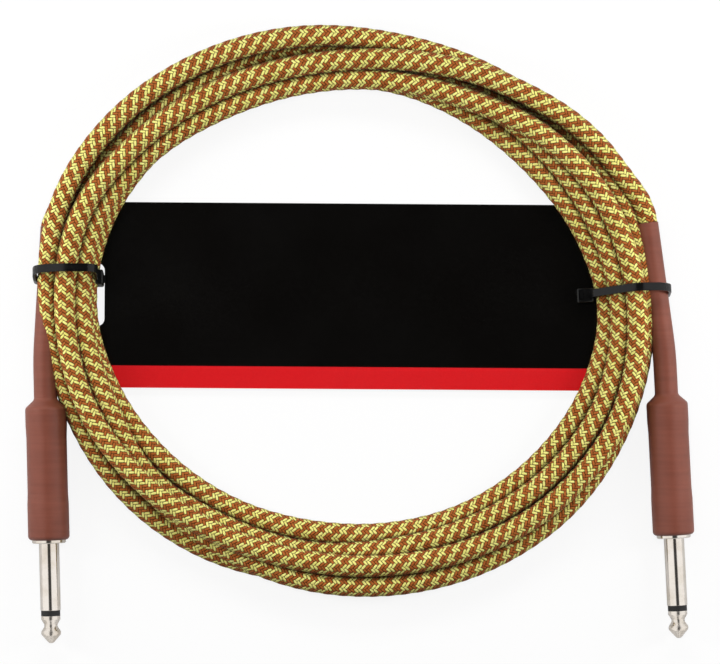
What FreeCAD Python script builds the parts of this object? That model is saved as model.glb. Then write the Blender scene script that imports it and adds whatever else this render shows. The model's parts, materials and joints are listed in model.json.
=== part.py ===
import FreeCAD, Part

import math
import os
import re

import Sketcher

# A guitar or keyboard cable, coiled flat and tied to its carrier card, in millimetres and degrees.
# +Z is up, +X runs along the card's printed lines, and the floor is at height zero.

# The phone plug, measured from the point of its tip backwards.
PLUG_SIZES = {
    "tip_length": 8.6,
    "tip_bulb_radius": 3.1,
    "tip_bulb_from_point": 3.3,
    "tip_waist_radius": 2.05,
    "tip_waist_from_point": 5.6,
    "tip_collar_radius": 3.0,
    "tip_collar_length": 1.1,
    "tip_nose_radius": 1.4,
    "rod_radius": 1.2,
    "insulator_ring_length": 1.75,
    "insulator_ring_radius": 3.0,
    "insulator_tube_radius": 1.9,
    "sleeve_length": 21.1,
    "sleeve_radius": 3.175,
    "flange_thickness": 0.95,
    "flange_radius": 5.3,
    "shank_length": 6.0,
    "shank_radius": 4.5,
    "washer_thickness": 1.0,
    "washer_radius": 2.9,
    "terminal_thickness": 0.6,
    "terminal_radius": 4.0,
    "cup_length": 5.0,
    "cup_radius": 1.9,
    "strip_width": 3.0,
    "strip_length": 15.0,
    "clamp_length": 4.0,
    "clamp_thickness": 0.5,
    "clamp_opening": 70.0,
}

# The handle and its shrink cover, measured from the handle's front face backwards.
HANDLE_SIZES = {
    "handle_length": 41.4,
    "handle_collar_radius": 6.5,
    "handle_grip_radius": 6.33,
    "front_collar_length": 11.2,
    "rear_collar_length": 5.6,
    "collar_ramp_length": 3.6,
    "front_edge_round": 1.3,
    "rear_edge_round": 1.5,
    "shoulder_length": 2.6,
    "cover_wall": 0.45,
    "barrel_chamber_radius": 5.0,
    "barrel_chamber_length": 26.0,
    "neck_radius": 3.65,
    "neck_bend_from_front": 52.5,
    "neck_bend_radius": 110.0,
    "neck_turn": 5.0,
    "neck_end_length": 36.1,
}

# The layers of the cable and how far each is stripped back from the handle's front face.
CABLE_SIZES = {
    "cord_radius": 3.4,
    "woven_end_radius": 3.35,
    "jacket_radius": 2.75,
    "screen_radius": 1.75,
    "core_radius": 1.45,
    "conductor_radius": 0.4,
    "screen_fold_length": 5.5,
    "screen_fold_thickness": 0.25,
    "woven_end_from_front": 30.0,
    "jacket_end_from_front": 22.0,
    "core_end_from_front": 16.0,
    "conductor_end_from_front": 10.5,
}

# Where the two plugs lie: the tip's point, the plug's turn from +Y and the side its neck bends to.
PLACES = {
    "left_tip_x": -96.75,
    "left_tip_y": -69.3,
    "left_turn": 1.35,
    "left_roll": 26.0,
    "right_tip_x": 100.05,
    "right_tip_y": -67.7,
    "right_turn": 2.92,
    "right_roll": 165.0,
}

# The coil: its outer reach and its width every 30 degrees, counter-clockwise from +X.
COIL_SIZES = {
    "coil_x": -4.2,
    "coil_y": 34.8,
    "layer_rise": 6.5,
    "lift_from": 0.55,
    "lift_full": 0.85,
    "floor_play": 0.1,
    "lead_straight": 5.5,
}
COIL_REACH = [94.5, 93.5, 90.0, 89.1, 93.5, 98.1, 96.3, 93.4, 89.0, 89.5, 93.3, 96.1]
COIL_WIDTH = [16.5, 21.0, 20.3, 19.8, 22.5, 20.4, 17.6, 21.0, 21.2, 22.8, 23.4, 21.1]
CORDS_ACROSS = 4
SECTIONS = 24

# The corners of the lead from the coil to the right neck: the angle round the coil, how far the
# cable's middle lies inside the coil's outer reach, and its height.
LEAD_CORNERS = [(26, -2.4, 7.5), (35, -1.3, 9.0), (46, 1.3, 10.4), (62, 4.6, 10.8)]

# The card and the ties that hold the coil on it.
CARD_SIZES = {
    "card_x": -2.15,
    "card_y": 39.5,
    "card_turn": -0.4,
    "card_bottom": 1.6,
    "card_width": 176.0,
    "card_height": 58.4,
    "card_thickness": 0.5,
    "card_corner_radius": 1.0,
    "slot_from_edge": 5.0,
    "slot_width": 4.8,
    "slot_length": 19.8,
}
TIE_SIZES = {
    "strap_width": 2.5,
    "strap_thickness": 1.1,
    "strap_play": 0.1,
    "strap_top": 16.2,
    "strap_bend": 0.9,
    "strap_inner_round": 4.0,
    "strap_outer_round": 6.0,
    "strap_foot_round": 2.5,
    "tail_length": 0.6,
    "head_length": 5.4,
    "head_width": 4.6,
    "head_thickness": 3.0,
    "head_edge_round": 0.6,
    "tie_lean": 10.0,
    "left_tie_x": -81.95,
    "left_tie_y": 45.6,
    "left_tie_turn": 180.0,
    "left_tie_reach": 20.65,
    "left_head_bottom": 2.3,
    "left_root": 0.4,
    "left_slot_rise": 2.1,
    "right_tie_x": 69.6,
    "right_tie_y": 38.7,
    "right_tie_turn": 3.0,
    "right_tie_reach": 28.1,
    "right_head_bottom": 3.35,
    "right_root": 3.3,
    "right_slot_rise": 8.5,
}

doc = FreeCAD.newDocument("InstrumentCable")
sheet = doc.addObject("Spreadsheet::Sheet", "Sizes")
nodes = []


def fill_sheet():
    """Writes every driving dimension, then the places along the plug that follow from them."""
    driving = [PLUG_SIZES, HANDLE_SIZES, CABLE_SIZES, PLACES, COIL_SIZES, CARD_SIZES, TIE_SIZES]
    cells = {name: str(size) for group in driving for name, size in group.items()}
    for step, (reach, width) in enumerate(zip(COIL_REACH, COIL_WIDTH)):
        cells[f"coil_reach_{step}"] = str(reach)
        cells[f"coil_width_{step}"] = str(width)
    cells["ring_back"] = "=tip_length + insulator_ring_length"
    cells["front"] = "=ring_back + sleeve_length + flange_thickness"
    cells["shank_back"] = "=front + shank_length"
    cells["ground_back"] = "=shank_back + terminal_thickness"
    cells["washer_back"] = "=ground_back + washer_thickness"
    cells["rod_back"] = "=washer_back + 2 * terminal_thickness + 0.8"
    cells["cup_back"] = "=washer_back + cup_length"
    cells["handle_back"] = "=front + handle_length"
    cells["neck_start"] = "=handle_back + shoulder_length"
    cells["shoulder_fall"] = "=(handle_collar_radius - neck_radius) / shoulder_length"
    cells["shoulder_angle"] = "=atan(shoulder_fall)"
    cells["bend_start"] = "=front + neck_bend_from_front"
    cells["bend_angle"] = "=neck_turn * 1 deg"
    cells["bend_side"] = "=neck_bend_radius * (1 - cos(bend_angle))"
    cells["bend_back"] = "=bend_start + neck_bend_radius * sin(bend_angle)"
    cells["neck_side"] = "=bend_side + neck_end_length * sin(bend_angle)"
    cells["neck_back"] = "=bend_back + neck_end_length * cos(bend_angle)"
    cells["fold_radius"] = "=jacket_radius + screen_fold_thickness"
    for row, (name, content) in enumerate(cells.items(), start=1):
        sheet.set(f"A{row}", name)
        sheet.set(f"B{row}", content)
        sheet.setAlias(f"B{row}", name)
    doc.recompute()
    return set(cells)


NAMES = fill_sheet()


def bound(formula):
    """The formula with every size in it named as a cell of the sheet."""
    return re.sub(r"[a-z]\w*", lambda word: cell_name(word.group()), formula)


def cell_name(word):
    return f"Sizes.{word}" if word in NAMES else word


def value(formula):
    return float(sheet.evalExpression(bound(formula)))


def new_body(name, place):
    body = doc.addObject("PartDesign::Body", name)
    body.Label = name
    body.Placement = place
    nodes.append(body)
    return body


def new_sketch(body, name, plane, shift="0"):
    """A sketch on one of the body's own origin planes, moved along that plane's normal by shift."""
    sketch = body.newObject("Sketcher::SketchObject", name)
    support = next(f for f in body.Origin.OriginFeatures if f.Role == plane)
    sketch.AttachmentSupport = [(support, "")]
    sketch.MapMode = "FlatFace"
    if shift != "0":
        sketch.setExpression("AttachmentOffset.Base.z", bound(shift))
    return sketch


def tie_point(sketch, edge, end, across, along):
    """Holds one end of an edge at its two distances from the sketch's origin."""
    for kind, axis, formula in (("DistanceX", -2, across), ("DistanceY", -1, along)):
        if formula == "0":
            sketch.addConstraint(Sketcher.Constraint("PointOnObject", edge, end, axis))
            continue
        distance = Sketcher.Constraint(kind, -1, 1, edge, end, value(formula))
        number = sketch.addConstraint(distance)
        sketch.setExpression(f"Constraints[{number}]", bound(formula))


def round_edge(start, end, radius, side):
    """The shorter arc from start to end that turns to the left or to the right."""
    chord = end - start
    to_left = FreeCAD.Vector(-chord.y, chord.x, 0).normalize()
    reach = math.sqrt(max(radius**2 - (chord.Length / 2) ** 2, 0))
    centre = (start + end) * 0.5 + to_left * (reach if side == "left" else -reach)
    first, last = (start, end) if side == "left" else (end, start)
    angles = [math.atan2(point.y - centre.y, point.x - centre.x) for point in (first, last)]
    circle = Part.Circle(centre, FreeCAD.Vector(0, 0, 1), radius)
    return Part.ArcOfCircle(circle, angles[0], angles[1])


def draw(sketch, corners, closed=True):
    """Draws an outline through corners. A corner is (across, along), reached by a straight edge, or
    (across, along, radius, side), reached by an arc that turns to that side."""
    places = [FreeCAD.Vector(value(corner[0]), value(corner[1]), 0) for corner in corners]
    drawn = []
    for number in range(0 if closed else 1, len(corners)):
        start, end = places[number - 1], places[number]
        if len(corners[number]) == 2:
            edge = sketch.addGeometry(Part.LineSegment(start, end), False)
            drawn.append((edge, 1, 2))
            continue
        radius, side = corners[number][2:]
        edge = sketch.addGeometry(round_edge(start, end, value(radius), side), False)
        bend = sketch.addConstraint(Sketcher.Constraint("Radius", edge, value(radius)))
        sketch.setExpression(f"Constraints[{bend}]", bound(radius))
        drawn.append((edge, 1, 2) if side == "left" else (edge, 2, 1))
    for before, after in zip(drawn, drawn[1:] + drawn[:1] if closed else drawn[1:]):
        sketch.addConstraint(Sketcher.Constraint("Coincident", before[0], before[2], after[0], after[1]))
    if not closed:
        tie_point(sketch, drawn[0][0], drawn[0][1], *corners[0][:2])
    for (edge, _, end), corner in zip(drawn, corners if closed else corners[1:]):
        tie_point(sketch, edge, end, *corner[:2])


def rings(sketch, radii):
    """Circles about the sketch's origin."""
    for radius in radii:
        circle = Part.Circle(FreeCAD.Vector(), FreeCAD.Vector(0, 0, 1), value(radius))
        edge = sketch.addGeometry(circle, False)
        sketch.addConstraint(Sketcher.Constraint("Coincident", edge, 3, -1, 1))
        size = sketch.addConstraint(Sketcher.Constraint("Radius", edge, value(radius)))
        sketch.setExpression(f"Constraints[{size}]", bound(radius))


def revolve(body, name, corners, kind="PartDesign::Revolution"):
    """Turns an outline, (radius, distance from the tip's point), about the plug's axis."""
    sketch = new_sketch(body, f"{body.Name}_{name}_outline", "XZ_Plane")
    draw(sketch, corners)
    feature = body.newObject(kind, f"{body.Name}_{name}")
    feature.Profile = sketch
    feature.ReferenceAxis = (sketch, ["V_Axis"])
    feature.Angle = 360
    return feature


def pad(body, name, sketch, length, both_ways=False, kind="PartDesign::Pad"):
    feature = body.newObject(kind, f"{body.Name}_{name}")
    feature.Profile = sketch
    feature.setExpression("Length", bound(length))
    feature.Midplane = both_ways
    return feature


def along_neck(body, name, radii, start, kind="PartDesign::AdditivePipe"):
    """A round rod or tube from start, down the neck's straight part, its bend and its far part."""
    path = new_sketch(body, f"{body.Name}_{name}_path", "XZ_Plane")
    corners = [("0", start)]
    if value(start) < value("bend_start"):
        corners.append(("0", "bend_start"))
    corners.append(("bend_side", "bend_back", "neck_bend_radius", "right"))
    corners.append(("neck_side", "neck_back"))
    draw(path, corners, closed=False)
    section = new_sketch(body, f"{body.Name}_{name}_section", "XY_Plane", start)
    rings(section, radii)
    feature = body.newObject(kind, f"{body.Name}_{name}")
    feature.Profile = section
    feature.Spine = (path, [f"Edge{number}" for number in range(1, len(corners))])
    return feature


def make_tip(body):
    """Rounded nose, cone, bulb, waist and collar, with the rod that runs back to the terminal."""
    nose = "0.77 * tip_nose_radius"
    nose_back = "0.36 * tip_nose_radius"
    bulb = "tip_bulb_radius - 0.25"
    waist = "tip_waist_radius + 0.25"
    revolve(body, "form", [
        ("0", "0"),
        (nose, nose_back, "tip_nose_radius", "left"),
        (bulb, "tip_bulb_from_point - 0.77"),
        (bulb, "tip_bulb_from_point + 0.77", "1.3", "left"),
        (waist, "tip_waist_from_point - 0.73"),
        (waist, "tip_waist_from_point + 0.73", "1.2", "right"),
        ("tip_collar_radius", "tip_length - tip_collar_length"),
        ("tip_collar_radius", "tip_length"),
        ("rod_radius", "tip_length"),
        ("rod_radius", "rod_back"),
        ("0", "rod_back"),
    ])


def make_tip_insulator(body):
    """The black ring behind the tip, in one piece with the tube that keeps the rod off the sleeve."""
    revolve(body, "form", [
        ("rod_radius", "tip_length"),
        ("insulator_ring_radius", "tip_length"),
        ("insulator_ring_radius", "ring_back"),
        ("insulator_tube_radius", "ring_back"),
        ("insulator_tube_radius", "ground_back"),
        ("rod_radius", "ground_back"),
    ])


def make_sleeve(body):
    """The ground contact: a plain tube, the flange in front of the handle and the shank inside it."""
    revolve(body, "form", [
        ("insulator_tube_radius", "ring_back"),
        ("sleeve_radius - 0.1", "ring_back"),
        ("sleeve_radius", "ring_back + 0.1"),
        ("sleeve_radius", "front - flange_thickness"),
        ("flange_radius - 0.25", "front - flange_thickness"),
        ("flange_radius", "front - flange_thickness + 0.25"),
        ("flange_radius", "front"),
        ("shank_radius", "front"),
        ("shank_radius", "shank_back"),
        ("insulator_tube_radius", "shank_back"),
    ])


def make_ground_terminal(body):
    """A washer against the shank, a strip along the chamber and an open clamp round the cable."""
    revolve(body, "washer", [
        ("insulator_tube_radius", "shank_back"),
        ("terminal_radius", "shank_back"),
        ("terminal_radius", "ground_back"),
        ("insulator_tube_radius", "ground_back"),
    ])
    outside = "fold_radius + clamp_thickness"
    clamp_back = "shank_back + strip_length + clamp_length"
    strip = new_sketch(body, f"{body.Name}_strip_outline", "XZ_Plane")
    draw(strip, [
        ("fold_radius", "shank_back"),
        (outside, "shank_back"),
        (outside, clamp_back),
        ("fold_radius", clamp_back),
    ])
    pad(body, "strip", strip, "strip_width", both_ways=True)
    band = new_sketch(body, f"{body.Name}_clamp_outline", "XZ_Plane")
    draw(band, [
        ("fold_radius", "shank_back + strip_length"),
        (outside, "shank_back + strip_length"),
        (outside, clamp_back),
        ("fold_radius", clamp_back),
    ])
    clamp = body.newObject("PartDesign::Revolution", f"{body.Name}_clamp")
    clamp.Profile = band
    clamp.ReferenceAxis = (band, ["V_Axis"])
    clamp.Midplane = True
    clamp.setExpression("Angle", bound("360 - clamp_opening"))


def make_rear_insulator(body):
    revolve(body, "form", [
        ("rod_radius", "ground_back"),
        ("washer_radius", "ground_back"),
        ("washer_radius", "washer_back"),
        ("rod_radius", "washer_back"),
    ])


def make_tip_terminal(body):
    """A cup on the rod's end, with a flange in front and a bore for the wire behind."""
    revolve(body, "form", [
        ("rod_radius", "washer_back"),
        ("washer_radius - 0.5", "washer_back"),
        ("washer_radius - 0.5", "washer_back + terminal_thickness"),
        ("cup_radius", "washer_back + terminal_thickness"),
        ("cup_radius", "cup_back"),
        ("conductor_radius", "cup_back"),
        ("conductor_radius", "rod_back"),
        ("rod_radius", "rod_back"),
    ])


def handle_form(inset):
    """The handle from the rim of its front face to its neck, as radii and distances, drawn in by inset:
    front edge, front collar, slimmer grip, rear collar and rounded shoulder."""
    half_fall = "tan(shoulder_angle / 2)"
    collar = f"handle_collar_radius - {inset}"
    grip = f"handle_grip_radius - {inset}"
    outer_round = f"(rear_edge_round - {inset})"
    front_collar_back = "front + front_collar_length"
    rear_collar_front = "handle_back - rear_collar_length"
    shoulder = f"handle_back - {inset} * {half_fall}"
    return [
        ("flange_radius", f"front + {inset}"),
        (collar, "front + front_edge_round", f"front_edge_round - {inset}", "left"),
        (collar, front_collar_back),
        (grip, f"{front_collar_back} + collar_ramp_length"),
        (grip, f"{rear_collar_front} - collar_ramp_length"),
        (collar, rear_collar_front),
        (collar, f"{shoulder} - {outer_round} * {half_fall}"),
        (
            f"{collar} - {outer_round} * {half_fall} * sin(shoulder_angle)",
            f"{shoulder} + {outer_round} * {half_fall} * cos(shoulder_angle)",
            outer_round,
            "left",
        ),
    ]


def neck_side_of_shoulder():
    """Where the cover's shoulder runs into its neck, with the same round as the rear edge."""
    half_fall = "tan(shoulder_angle / 2)"
    return [
        (
            f"neck_radius + rear_edge_round * {half_fall} * sin(shoulder_angle)",
            f"neck_start - rear_edge_round * {half_fall} * cos(shoulder_angle)",
        ),
        ("neck_radius", f"neck_start + rear_edge_round * {half_fall}", "rear_edge_round", "right"),
        ("neck_radius", "bend_start"),
    ]


def barrel_end():
    """The radius and place where the barrel's shoulder stops, clear of the neck's bore."""
    end_radius = "(neck_radius + cover_wall)"
    slope_start = "(handle_back - cover_wall * tan(shoulder_angle / 2))"
    return end_radius, f"{slope_start} + (handle_collar_radius - cover_wall - {end_radius}) / shoulder_fall"


def make_barrel(body):
    """The moulded barrel under the cover, with the chamber for the terminals and a hole for the cable."""
    end_radius, end_back = barrel_end()
    revolve(body, "form", [
        ("shank_radius", "front"),
        ("flange_radius", "front"),
        *handle_form("cover_wall"),
        (end_radius, end_back),
        ("woven_end_radius", end_back),
        ("woven_end_radius", "front + barrel_chamber_length + 4"),
        ("barrel_chamber_radius", "front + barrel_chamber_length"),
        ("barrel_chamber_radius", "shank_back"),
        ("shank_radius", "shank_back"),
    ])


def make_cover(body):
    """The brown cover, shrunk over barrel and cable in one piece. Returns its form before it is hollow."""
    revolve(body, "handle", [
        ("0", "front"),
        ("flange_radius", "front"),
        *handle_form("0")[1:],
        *neck_side_of_shoulder(),
        ("0", "bend_start"),
    ])
    outside = along_neck(body, "neck", ["neck_radius"], "bend_start")
    end_radius, end_back = barrel_end()
    revolve(body, "chamber", [
        ("0", "front"),
        ("flange_radius", "front"),
        *handle_form("cover_wall"),
        (end_radius, end_back),
        ("woven_end_radius", end_back),
        ("woven_end_radius", "bend_start"),
        ("0", "bend_start"),
    ], kind="PartDesign::Groove")
    along_neck(body, "bore", ["woven_end_radius"], "bend_start", kind="PartDesign::SubtractivePipe")
    return outside


def make_screen(body):
    """The wire screen round the core, folded back over the jacket's end under the clamp."""
    along_neck(body, "tube", ["screen_radius", "core_radius"], "front + jacket_end_from_front")
    cap_front = "front + jacket_end_from_front - screen_fold_thickness"
    fold_back = "front + jacket_end_from_front + screen_fold_length"
    revolve(body, "fold", [
        ("core_radius", cap_front),
        ("fold_radius", cap_front),
        ("fold_radius", fold_back),
        ("jacket_radius", fold_back),
        ("jacket_radius", "front + jacket_end_from_front"),
        ("core_radius", "front + jacket_end_from_front"),
    ])


def make_plug(side):
    """One phone plug with its cover and the cable's end inside it, and returns the cover's envelope."""
    lie = FreeCAD.Rotation(FreeCAD.Vector(0, 0, 1), value(f"{side}_turn"))
    lie = lie.multiply(FreeCAD.Rotation(FreeCAD.Vector(1, 0, 0), -90))
    lie = lie.multiply(FreeCAD.Rotation(FreeCAD.Vector(0, 0, 1), value(f"{side}_roll")))
    tip = FreeCAD.Vector(value(f"{side}_tip_x"), value(f"{side}_tip_y"), value("handle_collar_radius"))
    place = FreeCAD.Placement(tip, lie)
    make_tip(new_body(f"{side}_tip", place))
    make_tip_insulator(new_body(f"{side}_tip_insulator", place))
    make_sleeve(new_body(f"{side}_sleeve", place))
    make_ground_terminal(new_body(f"{side}_ground_terminal", place))
    make_rear_insulator(new_body(f"{side}_rear_insulator", place))
    make_tip_terminal(new_body(f"{side}_tip_terminal", place))
    make_barrel(new_body(f"{side}_handle_barrel", place))
    outside = make_cover(new_body(f"{side}_shrink_cover", place))
    layers = {
        "woven_end": (["woven_end_radius", "jacket_radius"], "front + woven_end_from_front"),
        "jacket_end": (["jacket_radius", "screen_radius"], "front + jacket_end_from_front"),
        "core_insulation": (["core_radius", "conductor_radius"], "front + core_end_from_front"),
        "conductor": (["conductor_radius"], "front + conductor_end_from_front"),
    }
    for layer, (radii, start) in layers.items():
        along_neck(new_body(f"{side}_{layer}", place), "form", radii, start)
    make_screen(new_body(f"{side}_screen", place))
    doc.recompute()
    envelope = outside.Shape.copy()
    envelope.Placement = place.multiply(envelope.Placement)
    return place, envelope


def box_outline(middle_x, middle_y, width, height, radius):
    """A rectangle with rounded corners."""
    west, east = f"{middle_x} - {width} / 2", f"{middle_x} + {width} / 2"
    south, north = f"{middle_y} - {height} / 2", f"{middle_y} + {height} / 2"
    return [
        (f"{west} + {radius}", south, radius, "left"),
        (f"{east} - {radius}", south),
        (east, f"{south} + {radius}", radius, "left"),
        (east, f"{north} - {radius}"),
        (f"{east} - {radius}", north, radius, "left"),
        (f"{west} + {radius}", north),
        (west, f"{north} - {radius}", radius, "left"),
        (west, f"{south} + {radius}"),
    ]


def make_card():
    """The flat card, with a long round-ended slot for a tie near each of its short edges."""
    turn = FreeCAD.Rotation(FreeCAD.Vector(0, 0, 1), value("card_turn"))
    spot = FreeCAD.Vector(value("card_x"), value("card_y"), value("card_bottom"))
    body = new_body("carrier_card", FreeCAD.Placement(spot, turn))
    outline = new_sketch(body, "card_outline", "XY_Plane")
    draw(outline, box_outline("0", "0", "card_width", "card_height", "card_corner_radius"))
    pad(body, "sheet", outline, "card_thickness")
    for side, sign in (("left", "-"), ("right", "")):
        middle = f"{sign}(card_width / 2 - slot_from_edge - slot_width / 2)"
        slot = new_sketch(body, f"{side}_slot_outline", "XY_Plane")
        draw(slot, box_outline(middle, "0", "slot_width", "slot_length", "0.49 * slot_width"))
        pad(body, f"{side}_slot", slot, "3 * card_thickness", both_ways=True, kind="PartDesign::Pocket")
    return body


def square_turns(corners):
    """The outline corners of a path of level and upright runs with rounded turns between them."""
    places = [(value(corner[0]), value(corner[1])) for corner in corners]
    path = [corners[0]]
    for number in range(1, len(corners) - 1):
        across, along, radius = corners[number]
        before, here, after = places[number - 1:number + 2]
        came = [sign_of(there - start) for start, there in zip(before, here)]
        goes = [sign_of(there - start) for start, there in zip(here, after)]
        side = "left" if came[0] * goes[1] - came[1] * goes[0] > 0 else "right"
        enter = [f"{spot} - ({way}) * {radius}" for spot, way in zip((across, along), came)]
        leave = [f"{spot} + ({way}) * {radius}" for spot, way in zip((across, along), goes)]
        path += [tuple(enter), (*leave, radius, side)]
    path.append(corners[-1])
    return path


def sign_of(distance):
    return 0 if abs(distance) < 1e-9 else int(math.copysign(1, distance))


def make_tie_head(body, west, bottom, length, height):
    """The tie's head, a block with rounded edges."""
    outline = new_sketch(body, f"{body.Name}_head_outline", "XZ_Plane")
    draw(outline, [
        (west, bottom),
        (f"{west} + {length}", bottom),
        (f"{west} + {length}", f"{bottom} + {height}"),
        (west, f"{bottom} + {height}"),
    ])
    block = pad(body, "head", outline, "head_width", both_ways=True)
    doc.recompute()
    edges = body.newObject("PartDesign::Fillet", f"{body.Name}_head_edges")
    edges.Base = (block, [f"Edge{number}" for number in range(1, 13)])
    edges.setExpression("Radius", bound("head_edge_round"))


def make_strap(body, root, corners):
    """The strap from its root in the head, round the bundle and through the window to its cut tail."""
    path = new_sketch(body, f"{body.Name}_strap_path", "XZ_Plane")
    turns = square_turns([root, *corners])
    draw(path, turns, closed=False)
    section = new_sketch(body, f"{body.Name}_strap_section", "XY_Plane", root[1])
    draw(section, [
        (f"{root[0]} - strap_thickness / 2", "-strap_width / 2"),
        (f"{root[0]} + strap_thickness / 2", "-strap_width / 2"),
        (f"{root[0]} + strap_thickness / 2", "strap_width / 2"),
        (f"{root[0]} - strap_thickness / 2", "strap_width / 2"),
    ])
    strap = body.newObject("PartDesign::AdditivePipe", f"{body.Name}_strap")
    strap.Profile = section
    strap.Spine = (path, [f"Edge{number}" for number in range(1, len(turns))])


def box_corners(middle_x, middle_y, width, height):
    """The four corners of a window with play all round what goes through it."""
    half_width, half_height = f"({width} / 2 + strap_play)", f"({height} / 2 + strap_play)"
    west, east = f"{middle_x} - {half_width}", f"{middle_x} + {half_width}"
    south, north = f"{middle_y} - {half_height}", f"{middle_y} + {half_height}"
    return [(west, south), (east, south), (east, north), (west, north)]


def make_tie(side):
    """A cable tie round the bundle, up through the card's slot and through its own head. The left
    head stands upright with a level window, the right one lies flat with an upright window."""
    edge_rise = value("strap_width") / 2 * math.sin(math.radians(value("tie_lean")))
    spot = FreeCAD.Vector(value(f"{side}_tie_x"), value(f"{side}_tie_y"), edge_rise)
    lean = value("tie_lean") if side == "left" else -value("tie_lean")
    turn = FreeCAD.Rotation(FreeCAD.Vector(0, 0, 1), value(f"{side}_tie_turn"))
    turn = turn.multiply(FreeCAD.Rotation(FreeCAD.Vector(1, 0, 0), lean))
    body = new_body(f"{side}_tie", FreeCAD.Placement(spot, turn))
    low = "strap_thickness / 2"
    around = [
        (f"{side}_root", "strap_top", "strap_inner_round"),
        (f"{side}_tie_reach", "strap_top", "strap_outer_round"),
        (f"{side}_tie_reach", low, "strap_foot_round"),
        (f"{side}_slot_rise", low, "strap_bend"),
    ]
    if side == "left":
        level = "left_head_bottom + head_thickness / 2 + 0.25"
        make_tie_head(body, "-head_thickness / 2", "left_head_bottom", "head_thickness", "head_length")
        hole = new_sketch(body, "left_window_outline", "YZ_Plane")
        draw(hole, box_corners("0", level, "strap_width", "strap_thickness"))
        around.append(("left_slot_rise", level, "strap_bend"))
        around.append(("-head_thickness / 2 - tail_length", level))
        root = ("left_root", "left_head_bottom + head_length - 0.5")
    else:
        level = "right_head_bottom - strap_play / 2 - strap_thickness / 2"
        make_tie_head(body, "-head_thickness / 2", "right_head_bottom", "head_length", "head_thickness")
        middle = "right_head_bottom + head_thickness / 2"
        hole = new_sketch(body, "right_window_outline", "XY_Plane", middle)
        draw(hole, box_corners("0", "0", "strap_thickness", "strap_width"))
        around.append(("right_slot_rise", level, "strap_bend"))
        around.append(("0", level, "strap_bend"))
        around.append(("0", "right_head_bottom + head_thickness + tail_length"))
        root = ("right_root", "right_head_bottom + head_thickness - 0.5")
    pad(body, "window", hole, "2 * head_thickness", both_ways=True, kind="PartDesign::Pocket")
    make_strap(body, root, around)
    return body


def around_coil(values, angle):
    """A smooth value at an angle, from values a twelfth of a turn apart."""
    step, part = divmod(angle / 30, 1)
    before, here, after, beyond = (values[(int(step) + shift) % 12] for shift in (-1, 0, 1, 2))
    slope_here = (after - before) / 2
    slope_after = (beyond - here) / 2
    bend = 3 * (after - here) - 2 * slope_here - slope_after
    twist = 2 * (here - after) + slope_here + slope_after
    return here + part * (slope_here + part * (bend + part * twist))


def coil_values(kind):
    return [value(f"coil_{kind}_{step}") for step in range(12)]


def coil_point(angle, reach, height):
    """A point at an angle round the coil and a distance from its middle."""
    turn = math.radians(angle)
    across = value("coil_x") + reach * math.cos(turn)
    return FreeCAD.Vector(across, value("coil_y") + reach * math.sin(turn), height)


def coil_bottom(angle):
    """The coil's underside: on the floor at the back and front, on the card at both sides."""
    sideways = abs(math.cos(math.radians(angle)))
    part = (sideways - value("lift_from")) / (value("lift_full") - value("lift_from"))
    part = min(max(part, 0), 1)
    low, high = value("floor_play"), value("card_bottom + card_thickness")
    return low + (high - low) * part**2 * (3 - 2 * part)


def coil_section(angle):
    """The bundle's outline across the coil: two layers of touching cords, seen as round lobes."""
    radius, rise = value("cord_radius"), value("layer_rise")
    reach = around_coil(coil_values("reach"), angle)
    pitch = (around_coil(coil_values("width"), angle) - 2 * radius) / (CORDS_ACROSS - 1)
    rows = [reach - radius - pitch * cord for cord in range(CORDS_ACROSS)]
    low = coil_bottom(angle) + radius
    dip = math.sqrt(radius**2 - (pitch / 2) ** 2)
    waist = math.sqrt(radius**2 - (rise / 2) ** 2)
    slant = radius * math.sqrt(0.5)
    outline = [(rows[0] + waist, low + rise / 2)]
    for level, way, side in ((low + rise, rows, 1), (low, rows[::-1], -1)):
        for cord, row in enumerate(way):
            if cord in (0, CORDS_ACROSS - 1):
                outward = side if cord == 0 else -side
                outline.append((row + outward * slant, level + side * slant))
            else:
                outline.append((row, level + side * radius))
            if cord < CORDS_ACROSS - 1:
                outline.append(((row + way[cord + 1]) / 2, level + side * dip))
        outline.append((way[-1] - side * waist, low + rise / 2))
    points = [coil_point(angle, across, height) for across, height in outline]
    arcs = [Part.Arc(*points[start:start + 3]).toShape() for start in range(0, len(points) - 1, 2)]
    return Part.Wire(arcs)


def round_route(points):
    """Straight runs through the points, joined by arcs as large as the runs allow."""
    edges = []
    start = points[0]
    for before, corner, after in zip(points, points[1:], points[2:]):
        back, ahead = before - corner, after - corner
        half_turn = (math.pi - back.getAngle(ahead)) / 2
        trim = 0.45 * min(back.Length, ahead.Length)
        reach = trim / math.tan(half_turn)
        print(f"lead arc radius {reach:.1f}")
        back.normalize()
        ahead.normalize()
        first, last = corner + back * trim, corner + ahead * trim
        middle = corner + (back + ahead).normalize() * (reach / math.cos(half_turn) - reach)
        edges.append(Part.makeLine(start, first))
        edges.append(Part.Arc(first, middle, last).toShape())
        start = last
    edges.append(Part.makeLine(start, points[-1]))
    return Part.Wire(edges)


def neck_end(place):
    """The middle of a neck's open end and the way that the cable leaves it."""
    turn = math.radians(value("neck_turn"))
    middle = place.multVec(FreeCAD.Vector(value("neck_side"), 0, value("neck_back")))
    return middle, place.Rotation.multVec(FreeCAD.Vector(math.sin(turn), 0, math.cos(turn)))


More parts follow.
